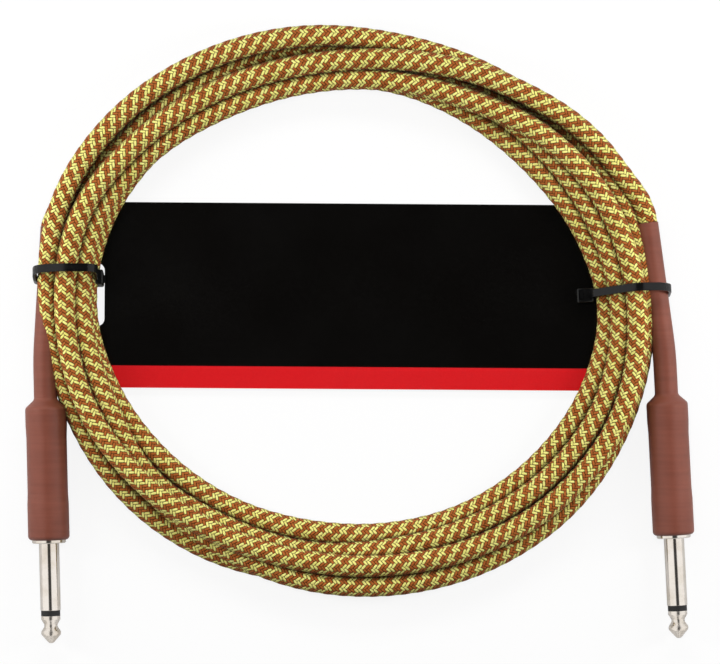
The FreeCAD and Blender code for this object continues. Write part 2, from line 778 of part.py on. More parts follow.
def make_lead(place):
    """The cable's last stretch, from the right neck up onto the coil."""
    start, way = neck_end(place)
    reach = coil_values("reach")
    points = [start, start + way * value("lead_straight")]
    for angle, inset, height in LEAD_CORNERS:
        points.append(coil_point(angle, around_coil(reach, angle) - inset, height))
    route = round_route(points)
    ring = Part.Wire(Part.makeCircle(value("cord_radius"), start, way))
    tube = route.makePipeShell([ring], True, False)
    print(f"lead volume {tube.Volume:.1f}, section times length "
          f"{math.pi * value('cord_radius')**2 * route.Length:.1f}")
    return add_shape("cable_lead", tube)


def make_coil(others):
    """The coiled cable's outer shape, hollowed where the plugs' necks, the ties and the lead pass."""
    wires = [coil_section(360 * number / SECTIONS) for number in range(SECTIONS)]
    bundle = Part.makeLoft(wires, True, False, True)
    bundle = bundle.cut(others)
    return add_shape("cable_coil", max(bundle.Solids, key=lambda solid: solid.Volume))


def add_shape(name, shape):
    node = doc.addObject("Part::Feature", name)
    node.Label = name
    node.Shape = shape
    nodes.append(node)
    return node


def check_all():
    """Stops when any object failed or any sub-part isn't one sound solid."""
    for item in doc.Objects:
        if "Invalid" in item.State or "Error" in item.State:
            raise SystemExit(f"{item.Name} failed")
    for node in nodes:
        if node.Shape.isNull() or not node.Shape.isValid() or len(node.Shape.Solids) != 1:
            raise SystemExit(f"{node.Label} isn't one sound solid")


left_place, left_envelope = make_plug("left")
right_place, right_envelope = make_plug("right")
card = make_card()
ties = [make_tie("left"), make_tie("right")]
lead = make_lead(right_place)
doc.recompute()
make_coil([left_envelope, right_envelope, lead.Shape, card.Shape, *(tie.Shape for tie in ties)])
doc.recompute()
check_all()

os.makedirs("parts", exist_ok=True)
for node in nodes:
    node.Shape.exportStep(f"parts/{node.Label}.step")
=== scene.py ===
import json
import math

import bmesh
import bpy
import numpy as np
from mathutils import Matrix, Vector


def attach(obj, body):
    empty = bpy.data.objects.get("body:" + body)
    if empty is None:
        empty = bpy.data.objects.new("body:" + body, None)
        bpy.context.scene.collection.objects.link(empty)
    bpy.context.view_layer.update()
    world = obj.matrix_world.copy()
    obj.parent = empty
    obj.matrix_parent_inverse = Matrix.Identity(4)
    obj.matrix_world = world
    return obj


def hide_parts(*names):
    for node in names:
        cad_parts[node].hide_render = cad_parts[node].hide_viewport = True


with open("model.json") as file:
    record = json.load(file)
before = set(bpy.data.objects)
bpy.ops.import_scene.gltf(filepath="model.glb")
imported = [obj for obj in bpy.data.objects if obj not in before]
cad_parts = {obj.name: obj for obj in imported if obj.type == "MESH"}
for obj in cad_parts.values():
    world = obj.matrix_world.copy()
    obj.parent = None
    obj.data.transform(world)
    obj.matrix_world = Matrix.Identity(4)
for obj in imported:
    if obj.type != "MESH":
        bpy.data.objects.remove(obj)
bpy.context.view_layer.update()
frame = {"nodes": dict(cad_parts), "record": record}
nodes = frame["nodes"]

# Lengths in this file are in millimetres and turned into metres by this factor.
MM = 0.001

# The camera looks straight down at the middle of the photograph.
PHOTO_MIDDLE = (0.03, 28.29)
PHOTO_WIDTH = 225.7
PHOTO_HEIGHT_OF_FOCUS = 7.0
LENS = 200.0
SENSOR = 36.0

# The cable: its thickness and its braid of sixteen yarns each way. The braid's mesh stands out in
# columns along the cable and in waves along them, and sinks a little below the cable's radius.
CORD_RADIUS = 3.4
BRAID_LAY = 18.9
YARNS = 16
RINGS_PER_SPAN = 24
POINTS_AROUND = 32
COLUMN_RELIEF = 0.14
WAVE_RELIEF = 0.04
RELIEF_SINK = 0.1

# How the braid is shaped and where shade is painted into its colour: the roundness of a yarn, how low its ends
# dip under the others, and how dark the painted shade is in the grooves between yarns and between neighbouring
# turns.
CROWN_POWER = 0.6
DIP_HEIGHT = 0.35
PAINTED_GROOVE_SHADE_HEIGHTS = (0.12, 0.74)
NEIGHBOUR_REACH = 5.0
NEIGHBOUR_OPENNESS = (0.15, 0.95)
PAINTED_NEIGHBOUR_SHADE = 0.18

# The coil's middle, and its path: the distance from the middle and the height above the lower
# row of turns, every twenty degrees clockwise from the first angle. Both lists were fitted outside
# this script, the distances to middles read from the photograph, the heights to its overs and unders.
COIL_MIDDLE = (-4.2, 34.8)
FIRST_ANGLE = 140
ANGLE_STEP = 20
DISTANCES = [
    88.0, 83.9, 75.1, 74.7, 74.1, 75.0, 79.4, 84.2, 81.6, 77.9, 74.7, 71.8, 70.7, 72.5, 75.2, 79.1, 83.4, 83.1,
    80.4, 78.5, 78.5, 78.1, 80.9, 85.3, 88.3, 89.5, 89.8, 88.9, 86.8, 84.6, 84.0, 87.9, 90.7, 92.2, 94.3, 97.4,
    95.1, 91.4, 88.4, 86.1, 87.7, 90.8, 94.1, 94.9, 94.6, 94.1, 91.2, 88.2, 86.2, 84.4, 85.0, 87.8, 89.1, 90.0,
    88.8, 85.5, 85.2, 80.8, 78.9, 81.0, 84.3, 87.5, 87.3, 83.3, 79.0, 76.5, 77.5, 78.2, 82.6, 81.0, 84.5, 85.3,
    80.1, 74.9, 73.5, 74.4, 77.1, 84.7, 89.9, 92.4, 93.7, 90.3, 85.6, 81.6, 80.1, 81.3, 84.4, 88.0, 89.2, 90.6,
    84.7, 80.9, 78.9, 80.7,
]
LEVELS = [
    1.3, 0.0, 0.0, 0.1, 0.0, 0.0, 0.1, 0.0, 0.1, 0.2, 0.0, 0.0, 0.0, 0.2, 0.2, 0.0, 0.0, 0.2,
    0.1, 0.9, 1.6, 0.5, 0.0, 0.2, 0.1, 0.0, 0.0, 0.3, 0.0, 0.0, 0.6, 0.0, 0.3, 0.1, 1.6, 5.6,
    5.3, 5.8, 6.2, 2.8, 0.3, 0.2, 0.3, 1.0, 0.5, 0.7, 2.9, 3.8, 3.8, 2.6, 0.0, 2.0, 1.9, 0.8,
    1.5, 2.1, 0.6, 2.1, 1.7, 1.7, 3.6, 3.5, 3.7, 3.6, 4.3, 3.3, 0.4, 3.1, 0.8, 5.1, 3.7, 2.2,
    2.4, 3.2, 2.7, 4.9, 5.9, 6.2, 6.1, 6.1, 6.1, 5.4, 5.9, 6.1, 6.1, 6.1, 6.1, 6.2, 6.1, 6.0,
    6.2, 5.5, 6.2, 5.9,
]
# The height of the lower row's underside: on the floor at the back and front, and lifted onto the
# card at the sides, where the cosine of the angle round the coil is large.
FLOOR_PLAY = 0.1
CARD_LIFT = 2.0
LIFT_FROM = 0.55
LIFT_SPAN = 0.3

# The ends of the two necks, the way that each neck points and how far the cable goes on that way.
LEFT_NECK_END = Vector((-96.62, 61.19, 4.94))
LEFT_NECK_WAY = Vector((0.0549, 0.9978, -0.0382))
LEFT_STRAIGHT = 5.0
RIGHT_NECK_END = Vector((89.97, 62.41, 5.58))
RIGHT_NECK_WAY = Vector((-0.1348, 0.9906, -0.0226))
RIGHT_STRAIGHT = 5.5
# The corners of the last stretch, from the coil to the right neck.
LEAD_CORNERS = [(35.82, 110.07, 10.8), (58.53, 99.76, 10.4), (73.07, 88.91, 9.0), (82.22, 76.95, 7.5)]

# The card's middle across, its turn, and the height in the picture where its red band ends.
CARD_MIDDLE = -2.15
CARD_TURN = -0.4
RED_BAND_TOP = 17.3

# The cable ties: each one's place on the floor, the way it points, and its strap's path as
# distance and height with the radius of each bend. The head's side of the plane is shifted up to
# the height where the shift fades out.
STRAP_WIDTH = 2.5
STRAP_THICKNESS = 1.1
STRAP_ROUND = 0.22
STRAP_STEP = 0.3
TOOTH_HEIGHT = 0.16
STEPS_PER_TOOTH = 3
TEETH_FROM = 0.35
TIE_LEAN = 10.0
SHIFT_FADES_FROM = 6.5
SHIFT_FADES_OVER = 6.0
HEAD_WIDTH = 4.6
HEAD_ROUND = 0.6
WINDOW_WIDTH = 2.7
WINDOW_ROUND = 0.18
SHARP_ANGLE = 40.0
TIES = {
    "left": {
        "place": (-81.95, 45.6),
        "turn": 180.0,
        "head_shift": -1.4,
        "path": [(0.4, 7.2), (0.4, 15.7, 3.0), (10.5, 16.35, 12.0), (19.9, 13.4, 5.0), (19.9, 0.55, 2.5),
                 (2.1, 0.55, 0.9), (2.1, 4.05, 0.9), (-2.1, 4.05)],
        "head_flat": False,
        "head": (2.3, 7.7),
        "window": (3.4, 4.7),
        "head_depth": (-1.5, 1.5),
    },
    "right": {
        "place": (69.6, 38.7),
        "turn": 3.0,
        "head_shift": 0.0,
        "path": [(3.3, 5.8), (3.3, 9.0, 2.0), (16.5, 16.35, 8.0), (27.4, 13.8, 5.5), (27.4, 0.55, 2.5),
                 (8.5, 0.55, 0.9), (8.5, 2.75, 0.9), (0.0, 2.75, 0.9), (0.0, 6.95)],
        "head_flat": True,
        "head": (-1.5, 3.9),
        "window": (-0.65, 0.65),
        "head_depth": (3.35, 6.35),
    },
}

# The world's light: bright sides and a dark gap overhead between them, in degrees from straight up,
# as shiny surfaces show them. Matt surfaces get the plain share of that light.
GAP_SHIFT = -3.0
GAP_HALF = 17.0
GAP_SOFTNESS = 5.0
GAP_LIGHT = 0.05
SIDE_LIGHT = 0.95
PLAIN_LIGHT = 0.15

# The floor: its half width in metres, its grey, and the white that it shows the camera beside it.
FLOOR_REACH = 1.5
FLOOR_GREY = 0.6
FLOOR_GLOW = 1.08
FLOOR_GLOW_SHARE = 0.8

# The lamps, in metres and watts: each one's place, the two sides of its face and its power.
LAMPS = {
    "left_box": ((-0.38, 0.06, 0.14), (0.08, 0.4), 1.2),
    "right_box": ((0.38, 0.06, 0.14), (0.08, 0.4), 1.2),
    "back_box": ((0.0, 0.62, 0.5), (0.8, 0.2), 3.2),
    "top_box": ((0.0, 0.1, 1.1), (0.3, 0.3), 3.6),
}
LAMPS_AIM = (0, 0.03, 0)


def add_camera():
    """The camera looks straight down from far enough away to take in the photograph's width."""
    data = bpy.data.cameras.new("camera")
    data.lens = LENS
    data.sensor_width = SENSOR
    data.sensor_fit = "HORIZONTAL"
    data.clip_end = 10
    camera = bpy.data.objects.new("camera", data)
    away = PHOTO_WIDTH * LENS / SENSOR + PHOTO_HEIGHT_OF_FOCUS
    camera.location = (PHOTO_MIDDLE[0] * MM, PHOTO_MIDDLE[1] * MM, away * MM)
    bpy.context.scene.collection.objects.link(camera)
    bpy.context.scene.camera = camera


class Nodes:
    """A node tree, with short calls for the nodes that the materials and the world share."""

    def __init__(self, tree):
        self.tree = tree

    def node(self, kind, inputs=(), output=0, **settings):
        node = self.tree.nodes.new(kind)
        for setting, value in settings.items():
            setattr(node, setting, value)
        for socket, value in dict(inputs).items():
            self.put(node.inputs[socket], value)
        return node.outputs[output]

    def put(self, socket, value):
        if isinstance(value, bpy.types.NodeSocket):
            self.tree.links.new(value, socket)
        else:
            socket.default_value = value

    def calc(self, operation, *values):
        return self.node("ShaderNodeMath", enumerate(values), operation=operation)

    def smooth(self, value, low, high, low_result=0.0, high_result=1.0):
        inputs = {0: value, 1: low, 2: high, 3: low_result, 4: high_result}
        return self.node("ShaderNodeMapRange", inputs, interpolation_type="SMOOTHSTEP")

    def mix(self, factor, first, second, blend="MIX"):
        inputs = {0: factor, 6: first, 7: second}
        return self.node("ShaderNodeMix", inputs, output=2, data_type="RGBA", blend_type=blend)

    def split(self, vector):
        """The X, Y and Z parts of a vector."""
        node = self.tree.nodes.new("ShaderNodeSeparateXYZ")
        self.put(node.inputs[0], vector)
        return node.outputs

    def ray(self, kind):
        """One for rays of this kind, and zero for the others."""
        return self.tree.nodes.new("ShaderNodeLightPath").outputs[kind]

    def place(self):
        """The object's own coordinates."""
        return self.node("ShaderNodeTexCoord", output=3)

    def stretch(self, vector, scale):
        return self.node("ShaderNodeMapping", {0: vector, 3: scale})

    def noise(self, vector, scale, detail=2.0):
        return self.node("ShaderNodeTexNoise", {"Vector": vector, "Scale": scale, "Detail": detail})

    def bump(self, height, distance, strength=1.0):
        return self.node("ShaderNodeBump", {"Strength": strength, "Distance": distance, "Height": height})


class Graph(Nodes):
    """A material's node tree, with its shader's own sockets set to the given constants."""

    def __init__(self, name, **constants):
        self.material = bpy.data.materials.new(name)
        self.material.use_nodes = True
        super().__init__(self.material.node_tree)
        self.shader = self.tree.nodes["Principled BSDF"]
        self.output = self.tree.nodes["Material Output"]
        for socket, value in constants.items():
            self.shader.inputs[socket.replace("_", " ")].default_value = value

    def finish(self, **sockets):
        for socket, value in sockets.items():
            self.put(self.shader.inputs[socket.replace("_", " ")], value)
        return self.material


def colour(*screen):
    """A colour as it is seen on a screen, turned into light."""
    light = [((part + 0.055) / 1.055) ** 2.4 if part > 0.04 else part / 12.92 for part in screen]
    return (*light, 1.0)


def braid_material():
    """Sixteen yarns each way, each over two and under two, two yellow beside two brown."""
    graph = Graph("braided yarn", Roughness=0.8, Specular_IOR_Level=0.12, Sheen_Weight=0.04)
    calc = graph.calc
    along, around, _ = graph.split(graph.node("ShaderNodeUVMap", uv_map="braid"))
    left = calc("MULTIPLY", calc("SUBTRACT", around, along), YARNS)
    right = calc("MULTIPLY", calc("ADD", around, along), YARNS)
    left_yarn, right_yarn = calc("FLOOR", left), calc("FLOOR", right)
    left_side, right_side = calc("FRACT", left), calc("FRACT", right)
    place = calc("FLOORED_MODULO", calc("ADD", calc("ADD", left_yarn, right_yarn), 1.0), 4.0)
    left_up = calc("LESS_THAN", place, 1.5)

    def crown(side, start, power):
        """The rounded height across a yarn, or along the stretch that it floats over."""
        bulge = calc("SINE", calc("MULTIPLY", calc("ADD", side, start), math.pi * power))
        return calc("POWER", calc("MAXIMUM", bulge, 0.0), CROWN_POWER)

    def choose(if_left, if_right):
        return graph.node("ShaderNodeMix", {0: left_up, 2: if_right, 3: if_left}, data_type="FLOAT")

    across = choose(crown(left_side, 0.0, 1.0), crown(right_side, 0.0, 1.0))
    float_left = crown(right_side, place, 0.5)
    float_right = crown(left_side, calc("SUBTRACT", place, 2.0), 0.5)
    floating = calc("MULTIPLY", choose(float_left, float_right), 1 - DIP_HEIGHT)
    height = calc("MULTIPLY", across, calc("ADD", DIP_HEIGHT, floating))
    yellow = calc("LESS_THAN", calc("FLOORED_MODULO", choose(left_yarn, right_yarn), 4.0), 1.5)
    # Each yarn has its own slight tone, and fine fibres along it.
    yarn_number = choose(left_yarn, calc("ADD", right_yarn, 0.37))
    tone = graph.node("ShaderNodeTexWhiteNoise", {"W": yarn_number}, noise_dimensions="1D")
    fibre_parts = {0: choose(left, right), 1: calc("MULTIPLY", along, 14.0)}
    fibre_place = graph.node("ShaderNodeCombineXYZ", fibre_parts)
    fibres = graph.noise(graph.stretch(fibre_place, (6.0, 1.0, 1.0)), 1.2, 3.0)
    patches = graph.noise(graph.place(), 90.0, 2.0)
    unevenness = calc("ADD", calc("MULTIPLY", fibres, 0.5), calc("MULTIPLY", patches, 0.3))
    shade = calc("ADD", calc("MULTIPLY", tone, 0.16), unevenness)
    yellow_yarn = graph.mix(shade, colour(0.83, 0.78, 0.30), colour(1.0, 0.99, 0.66))
    brown_yarn = graph.mix(shade, colour(0.47, 0.235, 0.09), colour(0.80, 0.47, 0.23))
    yarn = graph.mix(yellow, brown_yarn, yellow_yarn)
    # Painted shade in the grooves between yarns: the colour goes towards a dark brown where a yarn curves down
    # at its edges and where its ends dip under the others.
    painted_groove_shade = graph.smooth(height, *PAINTED_GROOVE_SHADE_HEIGHTS)
    # Painted shade between neighbouring turns: an ambient occlusion node darkens the yarn colour where other
    # turns lie within reach.
    near = {"Distance": NEIGHBOUR_REACH * MM}
    open_air = graph.node("ShaderNodeAmbientOcclusion", near, output=1, samples=8)
    painted_turn_shade = graph.smooth(open_air, *NEIGHBOUR_OPENNESS, PAINTED_NEIGHBOUR_SHADE, 1.0)
    base = graph.mix(calc("MULTIPLY", painted_groove_shade, painted_turn_shade), colour(0.15, 0.06, 0.0), yarn)
    relief = calc("ADD", height, calc("MULTIPLY", fibres, 0.25))
    return graph.finish(Base_Color=base, Normal=graph.bump(relief, 0.0003, 0.9))


def route_points():
    """The control points of the cable's line, from the left neck round the coil to the right neck."""
    points = [LEFT_NECK_END, LEFT_NECK_END + LEFT_NECK_WAY * LEFT_STRAIGHT]
    for step, (distance, level) in enumerate(zip(DISTANCES, LEVELS)):
        turn = math.radians(FIRST_ANGLE - step * ANGLE_STEP)
        across = COIL_MIDDLE[0] + distance * math.cos(turn)
        up = COIL_MIDDLE[1] + distance * math.sin(turn)
        points.append(Vector((across, up, lower_row(turn) + level)))
    points += [Vector(corner) for corner in LEAD_CORNERS]
    return points + [RIGHT_NECK_END + RIGHT_NECK_WAY * RIGHT_STRAIGHT, RIGHT_NECK_END]


def lower_row(turn):
    """The height of the lower turns' middle, on the floor or on the card."""
    part = min(max((abs(math.cos(turn)) - LIFT_FROM) / LIFT_SPAN, 0), 1)
    return FLOOR_PLAY + CARD_LIFT * part**2 * (3 - 2 * part) + CORD_RADIUS


def line_of(points, steps):
    """The points, in metres, of the smooth NURBS line that the control points lead."""
    data = bpy.data.curves.new("route", "CURVE")
    data.dimensions = "3D"
    data.resolution_u = steps
    spline = data.splines.new("NURBS")
    spline.points.add(len(points) - 1)
    for point, corner in zip(spline.points, points):
        point.co = (*(corner * MM), 1.0)
    spline.order_u = 3
    spline.use_endpoint_u = True
    line = bpy.data.objects.new("route", data)
    mesh = bpy.data.meshes.new_from_object(line)
    path = [vertex.co.copy() for vertex in mesh.vertices]
    bpy.data.meshes.remove(mesh)
    bpy.data.objects.remove(line)
    bpy.data.curves.remove(data)
    return path


def carried_frames(path):
    """At each point the line's way and two directions across it, carried along without twist."""
    neighbours = zip(path[:1] + path[:-1], path[1:] + path[-1:])
    ways = [(after - before).normalized() for before, after in neighbours]
    side = ways[0].cross(Vector((0, 0, 1))).normalized()
    frames = []
    for way in ways:
        side = (side - way * side.dot(way)).normalized()
        frames.append((way, side, way.cross(side)))
    return frames


def add_object(name, mesh, material):
    mesh.materials.append(material)
    piece = bpy.data.objects.new(name, mesh)
    bpy.context.scene.collection.objects.link(piece)
    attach(piece, "root")
    return piece


def braid_relief(along, around):
    """How far the yarns' crowns stand out, in millimetres: columns along the cable, waves along them."""
    columns = abs(math.sin(math.pi * (YARNS * around + 0.25)))
    waves = sum(math.cos(2 * math.pi * (along * 4 + way * around * 2)) for way in (1, -1))
    return COLUMN_RELIEF * columns + WAVE_RELIEF * waves - RELIEF_SINK


def make_cable():
    """The braided cable as a tube round its line, its braid laid out by a map of turns and lays."""
    path = line_of(route_points(), RINGS_PER_SPAN)
    frames = carried_frames(path)
    spans = [(after - before).length for before, after in zip(path, path[1:])]
    lengths = np.concatenate([[0.0], np.cumsum(spans)])
    print(f"cable length {lengths[-1]:.3f} m, {len(path)} rings")
    vertices, faces, maps = [], [], []
    lays = lengths / (BRAID_LAY * MM)
    for lay, middle, (way, side, top) in zip(lays, path, frames):
        for step in range(POINTS_AROUND):
            around = (step + 0.5) / POINTS_AROUND
            turn = 2 * math.pi * around
            reach = (CORD_RADIUS + braid_relief(lay, around)) * MM
            vertices.append(middle + reach * (math.cos(turn) * side + math.sin(turn) * top))
    for ring in range(len(path) - 1):
        for step in range(POINTS_AROUND):
            beside = (step + 1) % POINTS_AROUND
            first, second = ring * POINTS_AROUND, (ring + 1) * POINTS_AROUND
            faces.append((first + step, first + beside, second + beside, second + step))
            near, far = -(step + 0.5) / POINTS_AROUND, -(step + 1.5) / POINTS_AROUND
            maps += [(lays[ring], near), (lays[ring], far), (lays[ring + 1], far), (lays[ring + 1], near)]
    last = (len(path) - 1) * POINTS_AROUND
    start_cap, end_cap = tuple(range(POINTS_AROUND))[::-1], tuple(range(last, last + POINTS_AROUND))
    for cap, lay in ((start_cap, 0.0), (end_cap, lays[-1])):
        faces.append(cap)
        maps += [(lay, -(corner % POINTS_AROUND) / POINTS_AROUND) for corner in cap]
    mesh = bpy.data.meshes.new("cable")
    mesh.from_pydata(vertices, [], faces)
    layer = mesh.uv_layers.new(name="braid")
    layer.data.foreach_set("uv", np.array(maps, dtype=np.float32).ravel())
    mesh.polygons.foreach_set("use_smooth", [True] * (len(faces) - 2) + [False] * 2)
    piece = add_object("woven_cable", mesh, braid_material())
    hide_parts("cable_coil", "cable_lead")


def plain_material(name, shade, rough, metal=0.0):
    """A moulded or drawn surface with fine specks in its colour and relief."""
    graph = Graph(name, Roughness=rough, Metallic=metal, Specular_IOR_Level=0.3)
    specks = graph.noise(graph.place(), 900.0, 3.0)
    dark = tuple(0.8 * part for part in shade[:3]) + (1.0,)
    return graph.finish(Base_Color=graph.mix(specks, dark, shade), Normal=graph.bump(specks, 0.00003, 0.3))


def cover_material():
    """Satin heat-shrink tube: an uneven colour, faint rings across it and a fine orange peel."""
    graph = Graph("shrink_cover", Specular_IOR_Level=0.42)
    place = graph.place()
    clouds = graph.noise(place, 70.0, 3.0)
    peel = graph.noise(place, 1400.0, 2.0)
    rings = graph.noise(graph.stretch(place, (60.0, 900.0, 60.0)), 1.0, 3.0)
    tone = graph.calc("ADD", graph.calc("MULTIPLY", clouds, 0.6), graph.calc("MULTIPLY", rings, 0.4))
    shade = graph.smooth(tone, 0.25, 0.75)
    base = graph.mix(shade, colour(0.41, 0.22, 0.17), colour(0.49, 0.28, 0.225))
    rough = graph.smooth(tone, 0.2, 0.8, 0.36, 0.48)
    relief = graph.calc("ADD", graph.calc("MULTIPLY", peel, 0.4), rings)
    return graph.finish(Base_Color=base, Roughness=rough, Normal=graph.bump(relief, 0.0001, 0.5))


def metal_material(name, smoothest, roughest):
    """Bright nickel with fine turning marks across the plug and a few long rub marks."""
    graph = Graph(name, Metallic=1.0)
    place = graph.place()
    turned = graph.noise(graph.stretch(place, (30.0, 5000.0, 30.0)), 1.0, 2.0)
    rubbed = graph.noise(graph.stretch(place, (4000.0, 60.0, 4000.0)), 1.0, 2.0)
    tarnish = graph.smooth(graph.noise(place, 160.0, 4.0), 0.35, 0.75)
    base = graph.mix(tarnish, colour(0.965, 0.935, 0.90), colour(0.89, 0.845, 0.785))
    marks = graph.calc("ADD", graph.calc("MULTIPLY", turned, 0.6), graph.calc("MULTIPLY", rubbed, 0.4))
    rough = graph.smooth(marks, 0.3, 0.7, smoothest, roughest)
    return graph.finish(Base_Color=base, Roughness=rough, Normal=graph.bump(turned, 0.000004, 0.25))


def card_material():
    """Coated black card with a red band along its lower edge, pale at its cut edges."""
    graph = Graph("carrier_card", Specular_IOR_Level=0.3)
    place = graph.place()
    x, y, _ = graph.split(place)
    slope = math.tan(math.radians(CARD_TURN))
    across = graph.calc("MULTIPLY", graph.calc("SUBTRACT", x, CARD_MIDDLE * MM), -slope)
    along = graph.calc("ADD", y, across)
    fibres = graph.noise(place, 2600.0, 3.0)
    cloud = graph.noise(place, 40.0, 3.0)
    edge = graph.calc("ADD", along, graph.calc("MULTIPLY", fibres, 0.00006))
    band = graph.smooth(edge, (RED_BAND_TOP + 0.05) * MM, (RED_BAND_TOP - 0.05) * MM)
    black = graph.mix(fibres, colour(0.008, 0.006, 0.005), colour(0.025, 0.02, 0.015))
    red = graph.mix(fibres, colour(0.77, 0.04, 0.07), colour(0.83, 0.11, 0.13))
    printed = graph.mix(band, black, red)
    facing = graph.split(graph.node("ShaderNodeNewGeometry", output=1))[2]
    flat = graph.smooth(graph.calc("ABSOLUTE", facing), 0.4, 0.8)
    core = graph.mix(fibres, colour(0.58, 0.56, 0.52), colour(0.80, 0.78, 0.74))
    base = graph.mix(flat, core, printed)
    rough = graph.smooth(graph.calc("ADD", fibres, cloud), 0.6, 1.4, 0.16, 0.27)
    return graph.finish(Base_Color=base, Roughness=rough, Normal=graph.bump(fibres, 0.00002, 0.25))


def tie_material():
    """Black nylon with a soft shine, faint flow marks and dull scuffs."""
    graph = Graph("cable_tie", Specular_IOR_Level=0.36)
    place = graph.place()
    grain = graph.noise(place, 1800.0, 2.0)
    flow = graph.noise(graph.stretch(place, (150.0, 700.0, 150.0)), 1.0, 3.0)
    base = graph.mix(grain, colour(0.02, 0.02, 0.02), colour(0.06, 0.06, 0.06))
    rough = graph.smooth(flow, 0.3, 0.7, 0.14, 0.25)
    relief = graph.calc("ADD", grain, flow)
    return graph.finish(Base_Color=base, Roughness=rough, Normal=graph.bump(relief, 0.00004, 0.4))


def dress_nodes():
    """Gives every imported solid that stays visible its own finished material."""
    made = {
        "shrink_cover": cover_material(),
        "plug_contact": metal_material("plug_contact", 0.07, 0.17),
        "carrier_card": card_material(),
        "cable_tie": tie_material(),
    }
    for slot in frame["record"]["materials"]:
        name = slot["slot"]
        if name not in made:
            metal = 1.0 if slot["class"] == "brass" else 0.0
            made[name] = plain_material(name, (*slot["base_color"], 1.0), 0.3 if metal else 0.5, metal)
    for node in nodes.values():
        for index, old in enumerate(node.data.materials):
            node.data.materials[index] = made[old.name.split(".")[0]]
    worn = metal_material("plug_tip", 0.2, 0.32)
    for side in TIES:
        nodes[f"{side}_tip"].data.materials[0] = worn
    return made


def rounded_line(corners, steps=6):
    """Points along straight runs whose corners are rounded: each corner has a place and a radius."""
    points = [Vector(corners[0][:2])]
    for before, corner, after in zip(corners, corners[1:], corners[2:]):
        here = Vector(corner[:2])
        back = (Vector(before[:2]) - here).normalized()
        ahead = (Vector(after[:2]) - here).normalized()
        half = back.angle(ahead) / 2
        reach = corner[2] / math.tan(half)
        middle = here + (back + ahead).normalized() * (corner[2] / math.sin(half))
        first, last = here + back * reach - middle, here + ahead * reach - middle
        for step in range(steps + 1):
            point = first.lerp(last, step / steps).normalized() * corner[2]
            points.append(middle + point)
    points.append(Vector(corners[-1][:2]))
    return points


def evenly(points, spacing):
    """The same line with its points evenly spaced."""
    lengths = [0.0]
    for before, after in zip(points, points[1:]):
        lengths.append(lengths[-1] + (after - before).length)
    count = max(2, round(lengths[-1] / spacing))
    result, index = [], 0
    for step in range(count + 1):
        wanted = lengths[-1] * step / count
        while index < len(points) - 2 and lengths[index + 1] < wanted:
            index += 1
        share = (wanted - lengths[index]) / max(lengths[index + 1] - lengths[index], 1e-9)
        result.append(points[index].lerp(points[index + 1], min(share, 1.0)))
    return result


def tie_spot(tie, across, height, sideways=0.0):
    """A point of a tie, from its own plane, which leans back and starts from its place on the floor."""
    turn = math.radians(tie["turn"])
    lean = math.tan(math.radians(TIE_LEAN))
    low = 1 - min(max((height - SHIFT_FADES_FROM) / SHIFT_FADES_OVER, 0), 1)
    back = height * lean + tie["head_shift"] * low * low * (3 - 2 * low) + sideways
    if tie["turn"] > 90:
        back = -back
    x = tie["place"][0] + across * math.cos(turn) - back * math.sin(turn)
    y = tie["place"][1] + across * math.sin(turn) + back * math.cos(turn)
    return Vector((x, y, height))


def strap_mesh(tie):
    """The strap: a thin band with rounded edges and a ladder of teeth on the face that lies inside."""
    line = evenly(rounded_line(tie["path"]), STRAP_STEP)
    middles = [tie_spot(tie, *point) for point in line]
    sides = [(tie_spot(tie, *point, sideways=1.0) - tie_spot(tie, *point)).normalized() for point in line]
    half_width, half_thickness = STRAP_WIDTH / 2, STRAP_THICKNESS / 2
    outline = []
    for corner, (across, out) in enumerate(((1, 1), (-1, 1), (-1, -1), (1, -1))):
        for step in range(4):
            turn = math.radians(90 * corner + 30 * step)
            outline.append((across * (half_width - STRAP_ROUND) + STRAP_ROUND * math.cos(turn),
                            out * (half_thickness - STRAP_ROUND) + STRAP_ROUND * math.sin(turn)))
    vertices, faces = [], []
    count = len(outline)
    for number, (middle, side) in enumerate(zip(middles, sides)):
        way = (middles[min(number + 1, len(middles) - 1)] - middles[max(number - 1, 0)]).normalized()
        side = (side - way * side.dot(way)).normalized()
        out = side.cross(way).normalized()
        toothed = number % STEPS_PER_TOOTH == 0 and number > len(middles) * TEETH_FROM
        tooth = TOOTH_HEIGHT if toothed else 0.0
        for width, height in outline:
            inner = tooth if height < -half_thickness + 0.05 and abs(width) < half_width - 0.2 else 0.0
            vertices.append((middle + side * width + out * (height + inner)) * MM)
    for ring in range(len(middles) - 1):
        for step in range(count):
            beside = (step + 1) % count
            first, second = ring * count, (ring + 1) * count
            faces.append((first + step, first + beside, second + beside, second + step))
    faces.append(tuple(range(count))[::-1])
    faces.append(tuple(range((len(middles) - 1) * count, len(middles) * count)))
    mesh = bpy.data.meshes.new("strap")
    mesh.from_pydata(vertices, [], faces)
    return mesh


